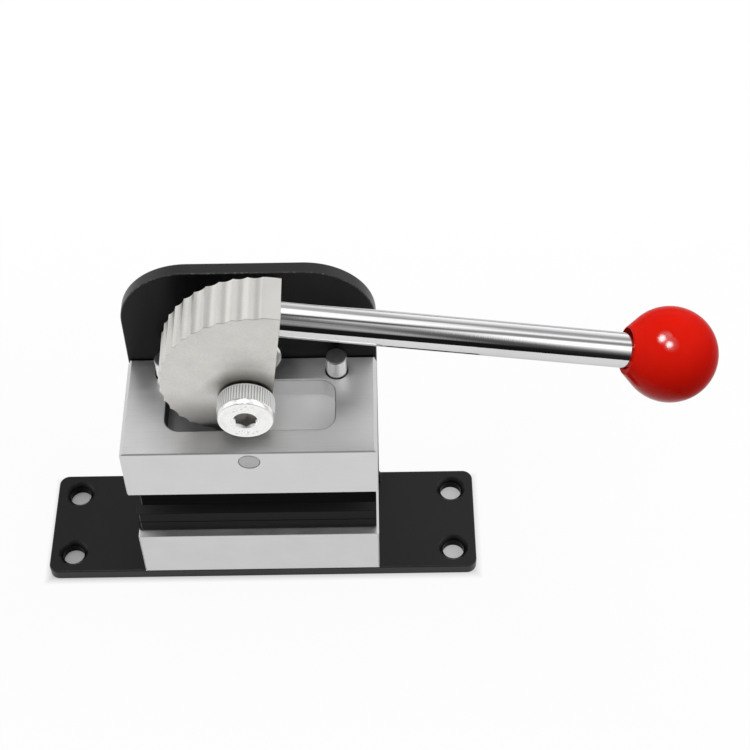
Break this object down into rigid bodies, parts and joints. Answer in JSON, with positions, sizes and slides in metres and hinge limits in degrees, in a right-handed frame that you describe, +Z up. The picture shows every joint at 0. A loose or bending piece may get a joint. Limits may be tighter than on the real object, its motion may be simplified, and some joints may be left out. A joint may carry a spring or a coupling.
{
  "type": "bench hand press",
  "caption": "Small bench hand press: a red-knobbed lever turns a fluted spiral cam that pushes a guided aluminium block down onto a fixed one on a black base bracket.",
  "frame": {"origin": "middle of the base plate's underside", "axes": "+X towards the lever's knob, -Y towards the front, +Z up"},
  "size_m": [0.1956, 0.0483, 0.114],
  "materials": {
    "black_steel": "satin black coating",
    "aluminium": "fine brushed",
    "black_plate": "satin black",
    "black_pad": "matt black",
    "steel": "ground",
    "nickel": "satin nickel plating",
    "chrome": "polished chrome",
    "zinc": "bright zinc plating",
    "red_plastic": "glossy red",
    "brass": "turned",
    "black_screw": "black oxide"
  },
  "bodies": {
    "frame": {"base_bracket": "black_steel", "lower_block": "aluminium", "lower_die_plate": "black_plate", "lower_die_pad": "black_pad", "guide_pin_left": "steel", "guide_pin_right": "steel", "return_spring_left": "steel", "return_spring_right": "steel", "pivot_screw": "zinc", "pivot_spacer": "steel", "pivot_washer": "zinc", "pivot_nut": "zinc", "base_screw_left": "black_screw", "base_screw_right": "black_screw", "lower_die_screw_left": "black_screw", "lower_die_screw_right": "black_screw"},
    "ram": {"upper_block": "aluminium", "upper_die": "black_pad", "follower_pin": "steel", "upper_die_screw_left": "black_screw", "upper_die_screw_right": "black_screw"},
    "cam_lever": {"cam": "nickel", "lever_rod": "chrome", "ball_knob": "red_plastic", "knob_insert": "brass"}
  },
  "joints": [
    {"name": "lever_swing", "type": "hinge", "parent": "frame", "child": "cam_lever", "pos_m": [0, -0.0033, 0.0799], "axis": [0, -1, 0], "range_deg": [0, 67]},
    {"name": "ram_slide", "type": "slide", "parent": "frame", "child": "ram", "axis": [0, 0, -1], "range_m": [0, 0.0074], "stiffness_N_per_m": 600, "springref_m": -0.008, "deforming": ["return_spring_left", "return_spring_right"]}
  ],
  "couplings": [
    {"joint": "ram_slide", "follows": "lever_swing", "m_per_rad": 0.0062}
  ]
}
